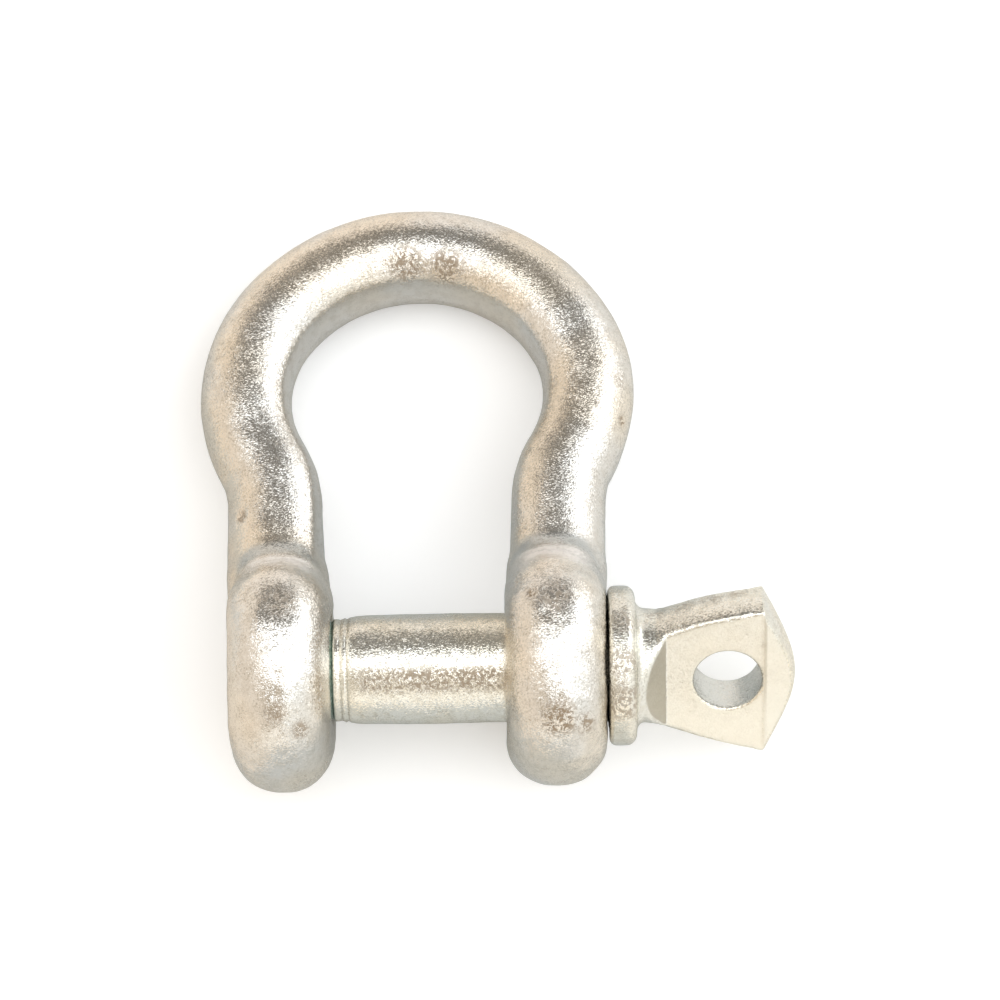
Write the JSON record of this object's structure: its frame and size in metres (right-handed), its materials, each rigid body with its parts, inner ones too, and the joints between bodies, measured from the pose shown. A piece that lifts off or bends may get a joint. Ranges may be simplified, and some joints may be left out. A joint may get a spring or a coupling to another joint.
{
  "type": "bow shackle",
  "caption": "Bow shackle: a round-bar bow with two round ears, closed by a screw pin that has a collar and a flat eye for turning it.",
  "frame": {"origin": "on the pin axis, midway between the two ears", "axes": "+X runs along the pin towards its eye, +Y runs towards the crown, +Z is normal to the bow's plane"},
  "size_m": [0.0614, 0.0639, 0.0244],
  "materials": {
    "forged_bow": "hot-dip galvanised, satin with fine speckle",
    "forged_pin": "hot-dip galvanised, satin"
  },
  "bodies": {
    "shackle_bow": {"bow": "forged_bow"},
    "pin_travel_carrier": {"screw_pin_core": "forged_pin"},
    "pin": {"screw_pin": "forged_pin"}
  },
  "joints": [
    {"name": "pin_travel", "type": "slide", "parent": "shackle_bow", "child": "pin_travel_carrier", "axis": [1, 0, 0], "range_m": [0, 0.04354]},
    {"name": "pin_turn", "type": "hinge", "parent": "pin_travel_carrier", "child": "pin", "pos_m": [0, 0, 0], "axis": [1, 0, 0], "range_deg": [0, 8640]}
  ],
  "couplings": [
    {"joint": "pin_turn", "follows": "pin_travel", "rad_per_m": 3463.1}
  ]
}
